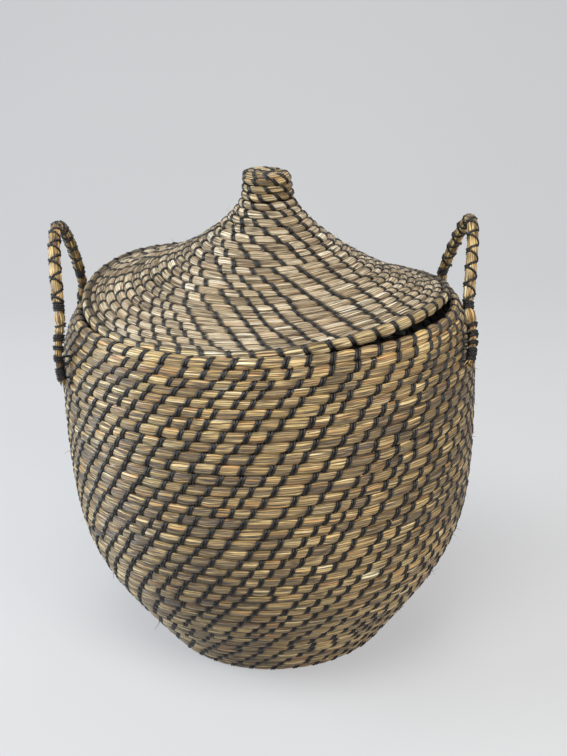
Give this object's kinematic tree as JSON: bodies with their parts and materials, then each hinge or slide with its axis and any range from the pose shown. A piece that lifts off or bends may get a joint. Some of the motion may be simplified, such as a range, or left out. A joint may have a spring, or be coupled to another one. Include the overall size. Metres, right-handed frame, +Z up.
{
  "type": "lidded storage basket",
  "caption": "Coiled seagrass belly basket with a narrow foot, a hat-shaped coiled lid with a knob, and upright loop handles lashed to the wall.",
  "frame": {"origin": "centre of the underside of the base, on the surface that the basket stands on", "axes": "+Z up through the knob, +X toward the right handle, the front that the picture shows toward -Y"},
  "size_m": [0.4469, 0.4408, 0.5133],
  "materials": {
    "seagrass": "dry seagrass fibre, straw to olive brown, satin strands",
    "pale_seagrass": "dry seagrass fibre, paler and greyer, matt",
    "black_cord": "black twisted twine with a slight sheen"
  },
  "bodies": {
    "basket": {"base_coil": "seagrass", "wall_coil": "seagrass", "rim_coil": "seagrass", "handle_core_left": "seagrass", "handle_core_right": "seagrass", "handle_binding_inner_left": "black_cord", "handle_binding_outer_left": "black_cord", "handle_binding_inner_right": "black_cord", "handle_binding_outer_right": "black_cord", "front_lashing_left": "black_cord", "rear_lashing_left": "black_cord", "front_lashing_right": "black_cord", "rear_lashing_right": "black_cord"},
    "lid": {"lid_edge_coil": "pale_seagrass", "lid_cone_coil": "pale_seagrass", "lid_knob_coil": "pale_seagrass"}
  },
  "joints": [
    {"name": "lid_lift", "type": "slide", "parent": "basket", "child": "lid", "axis": [0, 0, 1], "range_m": [0, 0.18]}
  ]
}
